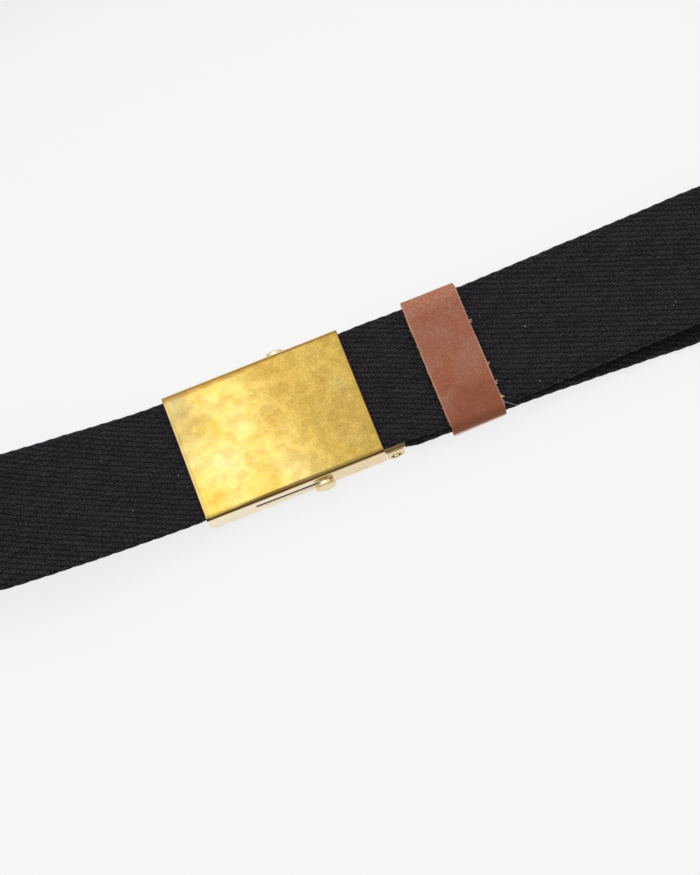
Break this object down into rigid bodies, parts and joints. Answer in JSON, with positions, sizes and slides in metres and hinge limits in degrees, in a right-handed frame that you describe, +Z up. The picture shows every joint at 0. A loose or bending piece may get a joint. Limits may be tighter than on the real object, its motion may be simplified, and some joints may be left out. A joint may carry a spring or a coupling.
{
  "type": "canvas web belt",
  "caption": "Fastened web belt: a ribbed cotton strap in a whole loop with a folded brass slide buckle, a leather keeper and a free tail.",
  "frame": {"origin": "middle of the whole belt's box, on the surface that it lies on", "axes": "+X along the front strap towards the tail, +Y from the front to the back of the loop, +Z up out of the buckle's face"},
  "size_m": [0.3818, 0.1998, 0.0387],
  "materials": {
    "webbing": "matt black cotton in a slanting ribbed weave, with light lint",
    "brass": "worn and cloudy yellow brass with fine scratches and grey tarnish",
    "pale_brass": "smooth pale brass",
    "leather": "mottled tan leather with raw paler edges"
  },
  "bodies": {
    "root": {"webbing": "webbing", "buckle_case": "brass", "friction_bar": "pale_brass", "clamp_plate": "brass", "clamp_jaw": "brass", "hinge_pin": "pale_brass", "leather_keeper": "leather"}
  },
  "joints": []
}
